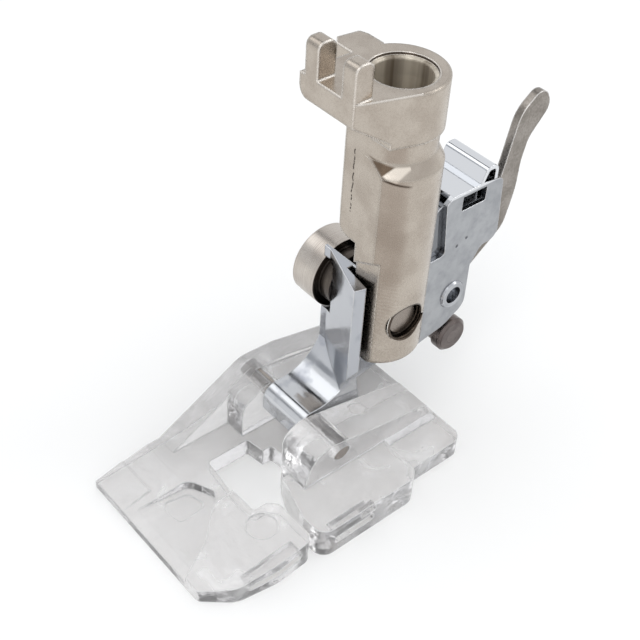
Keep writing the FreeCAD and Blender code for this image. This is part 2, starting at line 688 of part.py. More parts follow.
def foot_sole():
    body = new_body("foot_sole")
    left = -1 * d.sole_left
    front = -1 * d.sole_front
    back = d.sole_back
    foot_walls(body, left, front)
    # Plan of the sole, with the needle opening and the slot that leads into it
    right = d.front_block_right
    block_back = -1 * d.front_block_back
    open_front = -1 * d.opening_front
    open_back = -1 * d.opening_back
    open_left = -1 * d.opening_left
    open_right = d.opening_right
    block_plan = [
        (right - 2.7, front, 1.0), (right - 0.3, front + 2.9, 3.0), (right + 0.3, front + 7.3, 5.0),
        (right, block_back, 1.3), (open_right + 0.9, block_back, 0.6), (open_right, block_back - 0.9, 0.4),
        (open_right, open_front, 0.5)]
    opening = [
        (open_right - 3.4, open_front - 0.05, 2.0), (open_left, open_front + 0.6, 0.4),
        (open_left, open_back, 0.3), (open_left + 2.2, open_back + 0.35),
        (open_left + 2.24, open_back + 1.45, 0.4), (open_left + 3.9, open_back + 1.65),
        (open_right - 2.25, open_back + 0.45),
        (open_right - 1.97, open_back - 0.55)]
    slot_back = [(open_right - 0.33, 1.3 - d.side_front), (d.side_right - 2.95, -1 * d.side_front)]
    side_plan = [
        (d.side_right, -1 * d.side_front, 1.4), (d.side_right, -1 * d.side_back, 1.7)]
    flange = [(d.flange_right, -1 * d.side_back), (d.flange_right, back, 1.4), (left, back)]
    prism(body, "Pad", "sole", "XY_Plane", 0, d.sole_thick,
          [(left, front)] + block_plan + opening + slot_back + side_plan + flange)
    # The toe thins towards the front edge
    prism(body, "Pocket", "toe", "YZ_Plane", left - 1, d.sole_left + 1, [
        (front - 1, d.toe_thick), (front, d.toe_thick), (-1 * d.toe_back, d.sole_thick),
        (-1 * d.toe_back, d.sole_thick + 1), (front - 1, d.sole_thick + 1)])
    sole_channel(body, left, front)
    prism(body, "Pad", "front_block", "XY_Plane", 0.5 * d.toe_thick, d.front_block, [
        (right - 4.7, front)] + block_plan + [
        (open_right - 3.4, open_front - 0.05), (open_right - 3.1, front + 6.7, 2.5),
        (open_right - 0.4, front + 3.9, 3.0)])
    slope_end = front + 7.3
    above = d.front_block + 1
    prism(body, "Pocket", "front_block_slope", "YZ_Plane", left - 1, d.sole_left + 1, [
        (front - 1, d.front_block_toe), (front, d.front_block_toe), (slope_end, d.front_block),
        (slope_end, above), (front - 1, above)])
    side_left = d.side_right - 8.15
    prism(body, "Pad", "side_block", "XY_Plane", 0.5 * d.sole_thick, d.side_block, [
        (side_left, 1.55 - d.side_front)] + slot_back + side_plan + [
        (side_left + 2.8, -1 * d.side_back), (side_left, -1 * d.side_back)])
    sole_marks(body)
    prism(body, "Pocket", "bar_hole", "YZ_Plane", -1 * d.bar_left, d.right_outer + 1,
          round_at=(d.bar_back, d.bar_height, d.bar_radius))
    return body


# The scooped channel between the toe's ridge and the front block
def sole_channel(body, left, front):
    floor = d.channel_floor
    above = d.sole_thick + 1
    prism(body, "Pocket", "channel", "XY_Plane", floor, above, [
        (left + 5.5, front - 1), (left + 6.3, front + 3.7, 1.2), (left + 6.6, front + 6.9, 1.4),
        (left + 9.5, front + 8.3, 1.0), (left + 11.5, front + 6.9, 0.8), (left + 13.9, front + 3.9, 2.5),
        (left + 15.7, front), (left + 15.7, front - 1)])
    prism(body, "Pocket", "channel_dip", "XY_Plane", floor - d.channel_dip, above, [
        (left + 6.7, front + 3.3, 0.7), (left + 7.3, front + 6.4, 0.7), (left + 9.6, front + 7.1, 0.7),
        (left + 9.9, front + 3.6, 0.7)])
    low = 0.5 * d.toe_thick
    prism(body, "Pad", "toe_ridge", "YZ_Plane", left, left + 5.0, [
        (front, low), (front, d.toe_thick), (front + 3.3, d.toe_ridge), (front + 4.1, d.toe_thick),
        (front + 4.1, low)])


# Mould marks on the blocks and the slots that guide the tape
def sole_marks(body):
    prism(body, "Pocket", "block_mark", "XY_Plane", d.front_block - d.mark_depth, d.front_block + 1,
          round_at=(d.opening_right + 1.97, -1 * d.front_block_back - 3.05, d.block_mark))
    low = 0.55 * d.sole_thick
    high = low + d.tape_slot
    slot_front = 1.7 - d.side_front
    slot_end = slot_front + 5.0
    prism(body, "Pocket", "side_tape_slot", "YZ_Plane", d.side_right - d.tape_depth, d.side_right + 1, [
        (slot_front, low, 0.3), (slot_end, low, 0.3), (slot_end, high, 0.3), (slot_front, high, 0.3)])
    prism(body, "Pocket", "side_window", "YZ_Plane", d.side_right - 0.5 * d.tape_depth, d.side_right + 1, [
        (slot_end - 1.7, high + 0.4, 0.2), (slot_end + 0.2, high + 0.4, 0.2),
        (slot_end + 0.2, d.side_block - 0.35, 0.2), (slot_end - 1.7, d.side_block - 0.35, 0.2)])
    slot_front = -1 * d.front_block_back - 7.85
    slot_end = slot_front + 6.2
    deep = d.front_block_right - d.tape_depth
    prism(body, "Pocket", "front_tape_slot", "YZ_Plane", deep, d.sole_left + 1, [
        (slot_front, low - 0.3, 0.3), (slot_end, low, 0.3),
        (slot_end, high, 0.3), (slot_front, high - 0.5, 0.3)])


# Two walls that carry the bar: a straight one on the right, a ridge and its block on the left
def foot_walls(body, left, front):
    ridge = left + d.left_wall
    base = 0.5
    bar = d.bar_height
    axis = d.bar_back
    end_top = bar - d.wall_end_drop
    back = d.sole_back
    foot = d.sole_thick - 0.3
    prism(body, "Pad", "right_wall", "YZ_Plane", d.right_inner, d.right_outer, [
        (-1 * d.right_front, base), (-1 * d.right_front, bar + 1.35, 2.0),
        (axis - 2.05, bar + d.right_crest, 1.0), (axis + 0.85, bar + 1.75, 3.0),
        (axis + 8.85, bar + 0.15), (d.wall_end, end_top, 0.5), (back - 0.2, foot), (back - 0.2, base)])
    # The right wall's outer face leans in towards its foot
    lean = d.right_outer - d.right_lean
    prism(body, "Pocket", "right_lean", "XZ_Plane", -1 * d.right_front - 1, back + 1, [
        (d.right_outer, bar + 1), (d.right_outer + 1, bar + 1), (d.right_outer + 1, base - 0.1),
        (lean, base - 0.1), (lean, d.side_block)])
    prism(body, "Pocket", "wall_mark", "XY_Plane", bar + 0.8, bar + d.right_crest + 1,
          round_at=(d.right_inner + 1.4, axis + 4.5, d.wall_mark))
    prism(body, "Pad", "left_ridge", "YZ_Plane", left, ridge, [
        (front, base), (front, d.toe_thick), (front + 6.9, d.sole_thick - 0.5, 4.0),
        (axis - 0.45, bar + d.left_crest, 3.0), (axis + 3.95, bar + 0.95), (axis + 8.45, bar),
        (d.wall_end, end_top, 0.5), (back, foot), (back, base)])
    prism(body, "Pad", "left_block", "YZ_Plane", ridge - 0.5, -1 * d.left_inner, [
        (-1 * d.left_front, base), (-1 * d.left_front, bar - 0.6, 1.8), (axis - 0.95, bar + 1.1, 1.5),
        (axis + 2.45, bar + 0.7), (axis + 8.45, bar - 0.4), (d.wall_end - 0.4, end_top - 0.4, 0.5),
        (back - 0.2, foot), (back - 0.2, base)])


pieces = [adapter_body, thumb_screw, ankle_body, release_lever, latch_housing, lever_spring,
          pivot_rivet, stop_stud, foot_bar, foot_sole]


def write_pieces():
    bodies = [make() for make in pieces]
    doc.recompute()
    broken = [item.Name for item in doc.Objects if {"Invalid", "Error"} & set(item.State)]
    if broken:
        raise RuntimeError(f"failed objects: {broken}")
    os.makedirs("parts", exist_ok=True)
    for body in bodies:
        shape = body.Shape
        if shape.isNull() or not shape.isValid():
            raise RuntimeError(f"{body.Label} has no valid shape")
        box = shape.BoundBox
        print(f"{body.Label}: {shape.Volume:.1f} mm3, {len(shape.Solids)} solid, "
              f"x {box.XMin:.1f} to {box.XMax:.1f}, y {box.YMin:.1f} to {box.YMax:.1f}, "
              f"z {box.ZMin:.1f} to {box.ZMax:.1f}")
        shape.exportStep(f"parts/{body.Label}.step")


write_pieces()
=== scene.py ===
import math
import bpy
from mathutils import Matrix, Vector


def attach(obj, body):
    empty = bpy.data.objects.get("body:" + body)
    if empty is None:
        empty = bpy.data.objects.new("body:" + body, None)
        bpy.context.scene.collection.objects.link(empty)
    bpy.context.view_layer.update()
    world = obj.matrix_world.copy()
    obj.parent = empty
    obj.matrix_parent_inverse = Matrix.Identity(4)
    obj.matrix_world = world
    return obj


# A clear binding foot under a chromed ankle, on a nickel adapter with a cone socket.
# The scene is in metres and in the CAD model's own frame; the sizes and places in the
# dictionaries of the camera, the finishes and the thread are in mm.

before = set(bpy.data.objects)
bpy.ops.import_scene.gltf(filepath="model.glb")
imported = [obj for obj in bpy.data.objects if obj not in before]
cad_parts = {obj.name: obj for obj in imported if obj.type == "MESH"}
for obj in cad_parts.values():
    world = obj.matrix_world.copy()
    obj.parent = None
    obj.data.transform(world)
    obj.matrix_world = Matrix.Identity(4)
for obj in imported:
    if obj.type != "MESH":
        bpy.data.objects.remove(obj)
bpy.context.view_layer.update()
mm = 0.001
print("frame loaded:", len(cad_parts), "nodes")


# An sRGB hex colour as linear values
def linear(hexColour):
    parts = [int(hexColour[i:i + 2], 16) / 255 for i in (1, 3, 5)]
    return [p / 12.92 if p <= 0.04045 else ((p + 0.055) / 1.055) ** 2.4 for p in parts] + [1.0]


def metres(values):
    return [value * mm for value in values]


# A pattern's scale from its real size in mm
def scaleOf(size):
    return 1 / (size * mm)


# Adds a shader node. A name that is an input sets it, From and To take a pair for the least and
# the most of a range, and any other name is the node's own setting
def addNode(tree, kind, settings=None, links=None):
    node = tree.nodes.new("ShaderNode" + kind)
    for name, value in (settings or {}).items():
        if name in ("From", "To"):
            node.inputs[name + " Min"].default_value, node.inputs[name + " Max"].default_value = value
        elif isinstance(name, int) or name in node.inputs:
            node.inputs[name].default_value = value
        else:
            setattr(node, name, value)
    for name, source in (links or {}).items():
        tree.links.new(source, node.inputs[name])
    return node


# A material with its Object coordinates and a Principled shader wired to the output
def startFinish(name, settings):
    material = bpy.data.materials.new(name)
    material.use_nodes = True
    tree = material.node_tree
    tree.nodes.clear()
    place = addNode(tree, "TexCoord").outputs["Object"]
    shader = addNode(tree, "BsdfPrincipled", settings)
    addNode(tree, "OutputMaterial", links={"Surface": shader.outputs["BSDF"]})
    return material, tree, place, shader


cameraView = {
    "place": (61.58, -64.12, 94.3),  # from the photograph's perspective
    "azimuth": 47.5,  # degrees, as the next two are
    "elevation": 41.55,
    "roll": 3.76,
    "lens": 66.3,
    "sensor": 36.0,
    "nearest": 2.0,
}


def addCamera():
    turn, rise = math.radians(cameraView["azimuth"]), math.radians(cameraView["elevation"])
    ahead = Vector((-math.sin(turn) * math.cos(rise), math.cos(turn) * math.cos(rise), -math.sin(rise)))
    facing = ahead.to_track_quat("-Z", "Y").to_matrix()
    facing = facing @ Matrix.Rotation(math.radians(cameraView["roll"]), 3, "Z")
    place = Vector(cameraView["place"]) * mm
    bpy.ops.object.camera_add(location=place, rotation=facing.to_euler())
    camera = bpy.context.object
    camera.data.lens = cameraView["lens"]
    camera.data.sensor_width = cameraView["sensor"]
    camera.data.clip_start = cameraView["nearest"] * mm
    bpy.context.scene.camera = camera


studio = {
    "floor": "#f7f7f6",
    "floorSize": 1.6,  # metres, as all sizes and places here are
    "floorDrop": 0.00002,  # so that the sole doesn't share the floor's plane
    "world": "#f6f7f9",
    "worldStrength": 1.0,
    "paper": {"Roughness": 0.9, "Specular IOR Level": 0.2},
    # Cards and lamps are aimed at the part: the chrome's streaks are their reflections. A flat
    # card lies on the floor, and a streak lamp is only seen mirrored in the metal
    "aim": (0, 0, 0.012),
    "cards": [
        {"name": "darkCard", "place": (-0.205, 0.050, 0.310), "wide": 0.26, "deep": 0.050,
         "colour": "#16181c"},
        {"name": "lowCard", "place": (-0.330, -0.330, 0.070), "wide": 0.60, "deep": 0.070,
         "colour": "#a5a7ab"},
        {"name": "frontCard", "place": (0.052, -0.047, 0.0005), "wide": 0.060, "deep": 0.085,
         "colour": "#d6d0cc", "flat": True},
    ],
    "lamps": [
        {"name": "keyLight", "place": (0.16, -0.34, 0.50), "wide": 0.30, "deep": 0.30, "power": 0.70},
        {"name": "backLight", "place": (0.25, 0.40, 0.42), "wide": 0.25, "deep": 0.25, "power": 0.50},
        {"name": "softBox", "place": (-0.215, -0.095, 0.320), "wide": 0.26, "deep": 0.17, "power": 0.095,
         "streak": True},
        {"name": "frontGlint", "place": (0.18, -0.39, 0.135), "wide": 0.06, "deep": 0.06, "power": 0.045,
         "streak": True},
    ],
}


def plainMatte(name, hexColour):
    return startFinish(name, {**studio["paper"], "Base Color": linear(hexColour)})[0]


# Turns a plane or a lamp at a place so that it faces the part, its long side along X
def facingAim(place):
    back = (Vector(place) - Vector(studio["aim"])).normalized()
    side = Vector((0, 1, 0)).cross(back).normalized()
    return Matrix((side, back.cross(side), back)).transposed().to_euler()


def addStudio():
    world = bpy.data.worlds.new("studioWorld")
    world.use_nodes = True
    background = world.node_tree.nodes["Background"]
    background.inputs["Color"].default_value = linear(studio["world"])
    background.inputs["Strength"].default_value = studio["worldStrength"]
    bpy.context.scene.world = world
    bpy.ops.mesh.primitive_plane_add(size=studio["floorSize"], location=(0, 0, -studio["floorDrop"]))
    floor = bpy.context.object
    floor.name = "floor"
    floor.data.materials.append(plainMatte("paperFloor", studio["floor"]))
    for made in studio["cards"]:
        lying = (0, 0, math.radians(cameraView["azimuth"]))
        facing = lying if made.get("flat") else facingAim(made["place"])
        bpy.ops.mesh.primitive_plane_add(size=1, location=made["place"], rotation=facing)
        card = bpy.context.object
        card.name = made["name"]
        card.scale = (made["wide"], made["deep"], 1)
        card.data.materials.append(plainMatte(made["name"], made["colour"]))
        card.visible_camera = card.visible_shadow = card.visible_diffuse = card.visible_transmission = False
    for lamp in studio["lamps"]:
        bpy.ops.object.light_add(type="AREA", location=lamp["place"], rotation=facingAim(lamp["place"]))
        light = bpy.context.object
        light.name = lamp["name"]
        light.data.shape = "RECTANGLE"
        light.data.size = lamp["wide"]
        light.data.size_y = lamp["deep"]
        light.data.energy = lamp["power"]
        if lamp.get("streak"):
            light.visible_diffuse = light.visible_transmission = False
    bpy.context.scene.view_settings.view_transform = "Standard"


addCamera()
addStudio()
print("camera, floor and lights placed")


# What all the finishes share: how bent the shading is where an edge carries wear and a painted highlight and
# where its painted shade line lies (1 is flat), and the dark of the painted shade in a crease and how closed
# a place has to be for it
sharedWearAndPaintedShade = {
    "edgeSamples": 6,
    "edgeWearAndHighlightBend": (0.97, 0.86),
    "paintedEdgeShadeBend": (0.995, 0.97),
    "creaseSamples": 8,
    "paintedCreaseShadeTone": "#17171a",
    "closedAt": 0.18,
    "openAt": 0.62,
}


# Bevelled shading of the edges, with masks of the edge's middle, for its wear and painted highlight, and of
# the band beside it, for a painted shade line
def softEdges(tree, radius):
    edge = addNode(tree, "Bevel", {"samples": sharedWearAndPaintedShade["edgeSamples"], "Radius": radius * mm})
    surface = addNode(tree, "NewGeometry")
    bend = addNode(tree, "VectorMath", {"operation": "DOT_PRODUCT"},
                   {0: edge.outputs["Normal"], 1: surface.outputs["Normal"]})
    edgeWearAndHighlight = addNode(tree, "MapRange", {"From": sharedWearAndPaintedShade["edgeWearAndHighlightBend"]}, {"Value": bend.outputs["Value"]})
    paintedEdgeShade = addNode(tree, "MapRange", {"From": sharedWearAndPaintedShade["paintedEdgeShadeBend"]}, {"Value": bend.outputs["Value"]})
    return edge.outputs["Normal"], edgeWearAndHighlight.outputs["Result"], paintedEdgeShade.outputs["Result"]


# A plated edge: bright along its rounded middle, partly worn and partly a painted highlight, with a painted
# shade line on either side
def edgeWearAndPaintedLight(tree, colour, finish):
    normal, edgeWearAndHighlight, paintedEdgeShade = softEdges(tree, finish["edge"])
    lined = addNode(tree, "Mix", {"data_type": "RGBA", 7: linear(finish["paintedEdgeShade"])}, {0: paintedEdgeShade, 6: colour})
    wornAndPaintedColour = addNode(tree, "Mix", {"data_type": "RGBA", 7: linear(finish["edgeWearHighlight"])},
                     {0: edgeWearAndHighlight, 6: lined.outputs[2]})
    return normal, wornAndPaintedColour.outputs[2]


# The product of several masks
def overlap(tree, masks):
    both = masks[0]
    for mask in masks[1:]:
        both = addNode(tree, "Math", {"operation": "MULTIPLY"}, {0: both, 1: mask}).outputs["Value"]
    return both


# 1 where a length lies above the low limit and below the high one, in mm; None is no limit
def between(tree, value, low, high):
    masks = []
    for operation, limit in (("GREATER_THAN", low), ("LESS_THAN", high)):
        if limit is not None:
            mask = addNode(tree, "Math", {"operation": operation, 1: limit * mm}, {0: value})
            masks.append(mask.outputs["Value"])
    return overlap(tree, masks)


# 1 on the left of a line from one point to another, both (x, z) in mm, as seen from the front
def pastLine(tree, place, start, end, blur):
    along = Vector((end[0] - start[0], 0, end[1] - start[1])).normalized()
    across = Vector((-along.z, 0, along.x))
    level = across.x * start[0] + across.z * start[1]
    apart = addNode(tree, "VectorMath", {"operation": "DOT_PRODUCT", 1: across}, {0: place})
    side = addNode(tree, "MapRange", {"From": metres((level - blur, level + blur))},
                   {"Value": apart.outputs["Value"]})
    return side.outputs["Result"]


# Painted shade: a colour that darkens in creases and gaps, where a plated surface sees only other metal
def paintedCreaseShade(tree, colour, finish):
    hollow = addNode(tree, "AmbientOcclusion",
                     {"samples": sharedWearAndPaintedShade["creaseSamples"], "Distance": finish["crease"] * mm})
    openness = (sharedWearAndPaintedShade["closedAt"], finish.get("openAt", sharedWearAndPaintedShade["openAt"]))
    depth = addNode(tree, "MapRange", {"From": openness, "To": (finish["deepest"], 1.0)},
                    {"Value": hollow.outputs["AO"]})
    shaded = addNode(tree, "Mix", {"data_type": "RGBA", 6: linear(sharedWearAndPaintedShade["paintedCreaseShadeTone"])},
                     {0: depth.outputs["Result"], 7: colour})
    return shaded.outputs[2]


# Nickel plate on a zinc casting: warm grey and satin, a fine grain left by tumbling,
# a broken parting line down the front flat and faint swirls where the tongue was belt ground
castNickel = {
    "light": "#bbb2a7",
    "dark": "#aca297",
    "mottle": 2.6,
    "mottleRange": (0.35, 0.65),
    "grain": 0.20,  # coarser than the real 0.05 so that it shows
    "grainRange": (0.3, 0.7),
    "grainTone": (-0.22, 0.22),
    "grainBump": 0.55,
    "grainDepth": 0.010,
    "rough": (0.19, 0.34),
    "edge": 0.42,  # radius of an edge's wear and painted highlight
    "edgeWearHighlight": "#ece6de",
    "paintedEdgeShade": "#8f867b",
    "crease": 0.7,  # reach of the painted shade in a gap
    "deepest": 0.25,
    # The turned cone of the socket is painted brighter than the casting round it, as painted light, and
    # scatters the light that falls in; its streaks run along the axis and are painted reflections
    "bore": "#d8cfbf",
    "paintedBoreReflection": "#75695a",
    "paintedBoreReflectionScale": 1.7,
    "paintedBoreReflectionRange": (0.36, 0.64),
    "boreRadius": 3.05,
    "boreLow": 34.9,
    "boreTop": 44.2,
    "boreRough": 0.24,
    "boreMetal": 0.45,
    "paintedStepShade": "#4d443b",  # painted shade on the short wall above the cone's mouth
    "stepRadii": (2.98, 3.16),
    "stepTop": 44.42,
    "paintedHoleShade": "#5a5047",  # painted shade inside the threaded hole in the tongue
    "holeCentre": (-0.35, 19.2),  # y and z
    "holeRadius": 2.16,
    "seam": "#2f2722",
    "seamX": -1.15,
    "seamLow": 30.6,
    "seamTop": 37.4,
    "seamBack": -3.5,
    "seamDrift": 0.22,
    "seamWander": 0.9,
    "seamWidths": (0.10, 0.03),  # from its faint side to its dark middle
    "seamDashes": 0.42,
    "seamDashRange": (0.43, 0.50),
    # Where the turned neck runs out into the flat: the painted reflection and shade, with their corners (x,
    # z), of a dark facet, a bright shoulder and a dark fold
    "paintedFacetReflections": [
        ("#6a5b4d", [(0.60, 37.65), (2.30, 36.20), (2.85, 37.15)]),
        ("#ede3d6", [(2.30, 36.20), (3.45, 35.85), (3.75, 37.20), (2.85, 37.15)]),
        ("#43362c", [(2.26, 36.08), (4.10, 35.40), (4.13, 35.54), (2.33, 36.36)]),
    ],
    "facetBack": -1.6,
    "facetBlur": 0.09,
    "swirlPitch": 0.42,
    "waveLength": 0.314,  # of a wave texture at scale 1
    "swirlWarp": 2.5,
    "swirlCentre": (-4.6, 15.5),  # y and z
    "swirlFade": (27.0, 24.0),  # the heights where they begin and where they are full
    "swirlBump": 0.10,
    "swirlDepth": 0.03,
}


# The casting's cloudy colour, before its marks
def nickelTone(tree, place, grain):
    finish = castNickel
    mottle = addNode(tree, "TexNoise", {"Scale": scaleOf(finish["mottle"]), "Detail": 4.0}, {"Vector": place})
    tone = addNode(tree, "MapRange", {"From": finish["mottleRange"]}, {"Value": mottle.outputs["Fac"]})
    speck = addNode(tree, "MapRange", {"From": finish["grainRange"], "To": finish["grainTone"]},
                    {"Value": grain})
    mixed = addNode(tree, "Math", {"operation": "ADD", "use_clamp": True},
                    {0: tone.outputs["Result"], 1: speck.outputs["Result"]})
    base = addNode(tree, "Mix", {"data_type": "RGBA", 6: linear(finish["light"]), 7: linear(finish["dark"])},
                   {0: mixed.outputs["Value"]})
    return base.outputs[2]


# Parting line: a thin wandering band at x, broken into dashes along z, on the front only
def partingLine(tree, axes):
    finish = castNickel
    along = addNode(tree, "CombineXYZ", links={"Z": axes["Z"]}).outputs["Vector"]
    wander = addNode(tree, "TexNoise", {"Scale": scaleOf(finish["seamWander"]), "Detail": 1.0},
                     {"Vector": along})
    dashes = addNode(tree, "TexNoise", {"Scale": scaleOf(finish["seamDashes"]), "Detail": 2.0},
                     {"Vector": along})
    sway = metres((-finish["seamX"] - finish["seamDrift"], -finish["seamX"] + finish["seamDrift"]))
    drift = addNode(tree, "MapRange", {"To": sway}, {"Value": wander.outputs["Fac"]})
    across = addNode(tree, "Math", {"operation": "ADD"}, {0: axes["X"], 1: drift.outputs["Result"]})
    apart = addNode(tree, "Math", {"operation": "ABSOLUTE"}, {0: across.outputs["Value"]})
    thin = addNode(tree, "MapRange", {"From": metres(finish["seamWidths"])},
                   {"Value": apart.outputs["Value"]})
    broken = addNode(tree, "MapRange", {"From": finish["seamDashRange"]}, {"Value": dashes.outputs["Fac"]})
    return overlap(tree, [thin.outputs["Result"], broken.outputs["Result"],
                          between(tree, axes["Z"], finish["seamLow"], finish["seamTop"]),
                          between(tree, axes["Y"], None, finish["seamBack"])])


# The cone's colour with painted reflection streaks: their pattern depends on the direction from the axis
# alone
def coneWithPaintedReflections(tree, flat):
    finish = castNickel
    turned = addNode(tree, "VectorMath", {"operation": "NORMALIZE"}, {0: flat})
    streaks = addNode(tree, "TexNoise", {"Scale": finish["paintedBoreReflectionScale"], "Detail": 4.0},
                      {"Vector": turned.outputs["Vector"]})
    streak = addNode(tree, "MapRange", {"From": finish["paintedBoreReflectionRange"]}, {"Value": streaks.outputs["Fac"]})
    tones = {"data_type": "RGBA", 6: linear(finish["bore"]), 7: linear(finish["paintedBoreReflection"])}
    return addNode(tree, "Mix", tones, {0: streak.outputs["Result"]}).outputs[2]


# The grinding swirls, arcs about a point low on the tongue, bumped on to a normal
def groundSwirls(tree, place, height, normal):
    finish = castNickel
    centre = metres((0.0, -finish["swirlCentre"][0], -finish["swirlCentre"][1]))
    moved = addNode(tree, "Mapping", {"Location": centre}, {"Vector": place})
    rings = {"wave_type": "RINGS", "rings_direction": "X", "Detail": 2.0, "Detail Scale": 0.6,
             "Scale": finish["waveLength"] / (finish["swirlPitch"] * mm), "Distortion": finish["swirlWarp"]}
    swirl = addNode(tree, "TexWave", rings, {"Vector": moved.outputs["Vector"]})
    low = addNode(tree, "MapRange", {"From": metres(finish["swirlFade"])}, {"Value": height})
    arcs = overlap(tree, [swirl.outputs["Fac"], low.outputs["Result"]])
    scored = addNode(tree, "Bump", {"Strength": finish["swirlBump"], "Distance": finish["swirlDepth"] * mm},
                     {"Height": arcs, "Normal": normal})
    return scored.outputs["Normal"]


def nickelCasting():
    finish = castNickel
    material, tree, place, shader = startFinish("nickelPlatedCasting", {"Metallic": 1.0})
    axes = addNode(tree, "SeparateXYZ", links={"Vector": place}).outputs
    grained = addNode(tree, "TexNoise", {"Scale": scaleOf(finish["grain"]), "Detail": 3.0}, {"Vector": place})
    grain = grained.outputs["Fac"]
    lined = addNode(tree, "Mix", {"data_type": "RGBA", 7: linear(finish["seam"])},
                    {0: partingLine(tree, axes), 6: nickelTone(tree, place, grain)})
    front = between(tree, axes["Y"], None, finish["facetBack"])
    # Painted reflection and shade on the facets below the neck
    for tone, corners in finish["paintedFacetReflections"]:
        sides = [pastLine(tree, place, corners[i - 1], corners[i], finish["facetBlur"])
                 for i in range(len(corners))]
        lined = addNode(tree, "Mix", {"data_type": "RGBA", 7: linear(tone)},
                        {0: overlap(tree, sides + [front]), 6: lined.outputs[2]})
    # Edges: wear with a painted highlight, and painted shade lines beside them
    edge, wornAndPaintedColour = edgeWearAndPaintedLight(tree, lined.outputs[2], finish)
    flat = addNode(tree, "CombineXYZ", links={"X": axes["X"], "Y": axes["Y"]}).outputs["Vector"]
    reach = addNode(tree, "VectorMath", {"operation": "LENGTH"}, {0: flat}).outputs["Value"]
    sideways = addNode(tree, "CombineXYZ", links={"Y": axes["Y"], "Z": axes["Z"]})
    away = addNode(tree, "VectorMath", {"operation": "DISTANCE", 1: metres((0.0, *finish["holeCentre"]))},
                   {0: sideways.outputs["Vector"]})
    holed = between(tree, away.outputs["Value"], None, finish["holeRadius"])
    stepped = overlap(tree, [between(tree, reach, *finish["stepRadii"]),
                             between(tree, axes["Z"], finish["boreTop"], finish["stepTop"])])
    # Painted shade in the threaded hole and on the short wall above the cone
    for name, mask in (("paintedHoleShade", holed), ("paintedStepShade", stepped)):
        wornAndPaintedColour = addNode(tree, "Mix", {"data_type": "RGBA", 7: linear(finish[name])},
                         {0: mask, 6: wornAndPaintedColour}).outputs[2]
    # Inside the cone: its painted brighter tone and painted reflection streaks; elsewhere painted shade in
    # creases
    inside = overlap(tree, [between(tree, reach, None, finish["boreRadius"]),
                            between(tree, axes["Z"], finish["boreLow"], finish["boreTop"])])
    bored = addNode(tree, "Mix", {"data_type": "RGBA"},
                    {0: inside, 6: paintedCreaseShade(tree, wornAndPaintedColour, finish), 7: coneWithPaintedReflections(tree, flat)})
    rough = addNode(tree, "MapRange", {"From": finish["grainRange"], "To": finish["rough"]}, {"Value": grain})
    smooth = addNode(tree, "Mix", {3: finish["boreRough"]}, {0: inside, 2: rough.outputs["Result"]})
    metal = addNode(tree, "MapRange", {"To": (1.0, finish["boreMetal"])}, {"Value": inside})
    bumped = addNode(tree, "Bump", {"Strength": finish["grainBump"], "Distance": finish["grainDepth"] * mm},
                     {"Height": grain, "Normal": groundSwirls(tree, place, axes["Z"], edge)})
    tree.links.new(bored.outputs[2], shader.inputs["Base Color"])
    tree.links.new(smooth.outputs[0], shader.inputs["Roughness"])
    tree.links.new(metal.outputs["Result"], shader.inputs["Metallic"])
    tree.links.new(bumped.outputs["Normal"], shader.inputs["Normal"])
    return material


# What the turned pieces share
lathe = {
    "toneRange": (0.75, 1.25),
    "roughRange": (0.3, 0.7),
    "bumpDepth": 0.01,
    "edgeSamples": 4,
}


# Lathe marks: a pattern that changes only along the axis and outwards from it
def latheMarks(tree, place, centre, pitch):
    moved = addNode(tree, "Mapping", {"Location": metres([-c for c in centre])}, {"Vector": place})
    axes = addNode(tree, "SeparateXYZ", links={"Vector": moved.outputs["Vector"]}).outputs
    radial = addNode(tree, "CombineXYZ", links={"Y": axes["Y"], "Z": axes["Z"]})
    reach = addNode(tree, "VectorMath", {"operation": "LENGTH"}, {0: radial.outputs["Vector"]})
    profile = addNode(tree, "CombineXYZ", links={"X": axes["X"], "Y": reach.outputs["Value"]})
    marks = addNode(tree, "TexNoise", {"Scale": scaleOf(pitch), "Detail": 3.0},
                    {"Vector": profile.outputs["Vector"]})
    return marks.outputs["Fac"]


# Metal turned on a lathe: bright or dull by its plating, with rings the eye reads as brushed
def turnedMetal(name, finish):
    material, tree, place, shader = startFinish(name, {"Metallic": 1.0, "Anisotropic": finish["anisotropic"]})
    marks = latheMarks(tree, place, finish["centre"], finish["pitch"])
    mottle = addNode(tree, "TexNoise", {"Scale": scaleOf(finish["mottle"]), "Detail": 3.0}, {"Vector": place})
    both = addNode(tree, "Math", {"operation": "ADD"}, {0: marks, 1: mottle.outputs["Fac"]})
    tone = addNode(tree, "MapRange", {"From": lathe["toneRange"]}, {"Value": both.outputs["Value"]})
    base = addNode(tree, "Mix", {"data_type": "RGBA", 6: linear(finish["light"]), 7: linear(finish["dark"])},
                   {0: tone.outputs["Result"]})
    # Painted shade in bands along x, where a piece lies in a gap or a hole
    for start, stop, bandShade in finish.get("paintedShadeBands", []):
        axes = addNode(tree, "SeparateXYZ", links={"Vector": place}).outputs
        base = addNode(tree, "Mix", {"data_type": "RGBA", 7: linear(bandShade)},
                       {0: between(tree, axes["X"], start, stop), 6: base.outputs[2]})
    rough = addNode(tree, "MapRange", {"From": lathe["roughRange"], "To": finish["rough"]}, {"Value": marks})
    edge = addNode(tree, "Bevel", {"samples": lathe["edgeSamples"], "Radius": finish["edge"] * mm})
    bumped = addNode(tree, "Bump", {"Strength": finish["bump"], "Distance": lathe["bumpDepth"] * mm},
                     {"Height": marks, "Normal": edge.outputs["Normal"]})
    # Painted shade in creases
    tree.links.new(paintedCreaseShade(tree, base.outputs[2], finish), shader.inputs["Base Color"])
    tree.links.new(rough.outputs["Result"], shader.inputs["Roughness"])
    tree.links.new(bumped.outputs["Normal"], shader.inputs["Normal"])
    return material


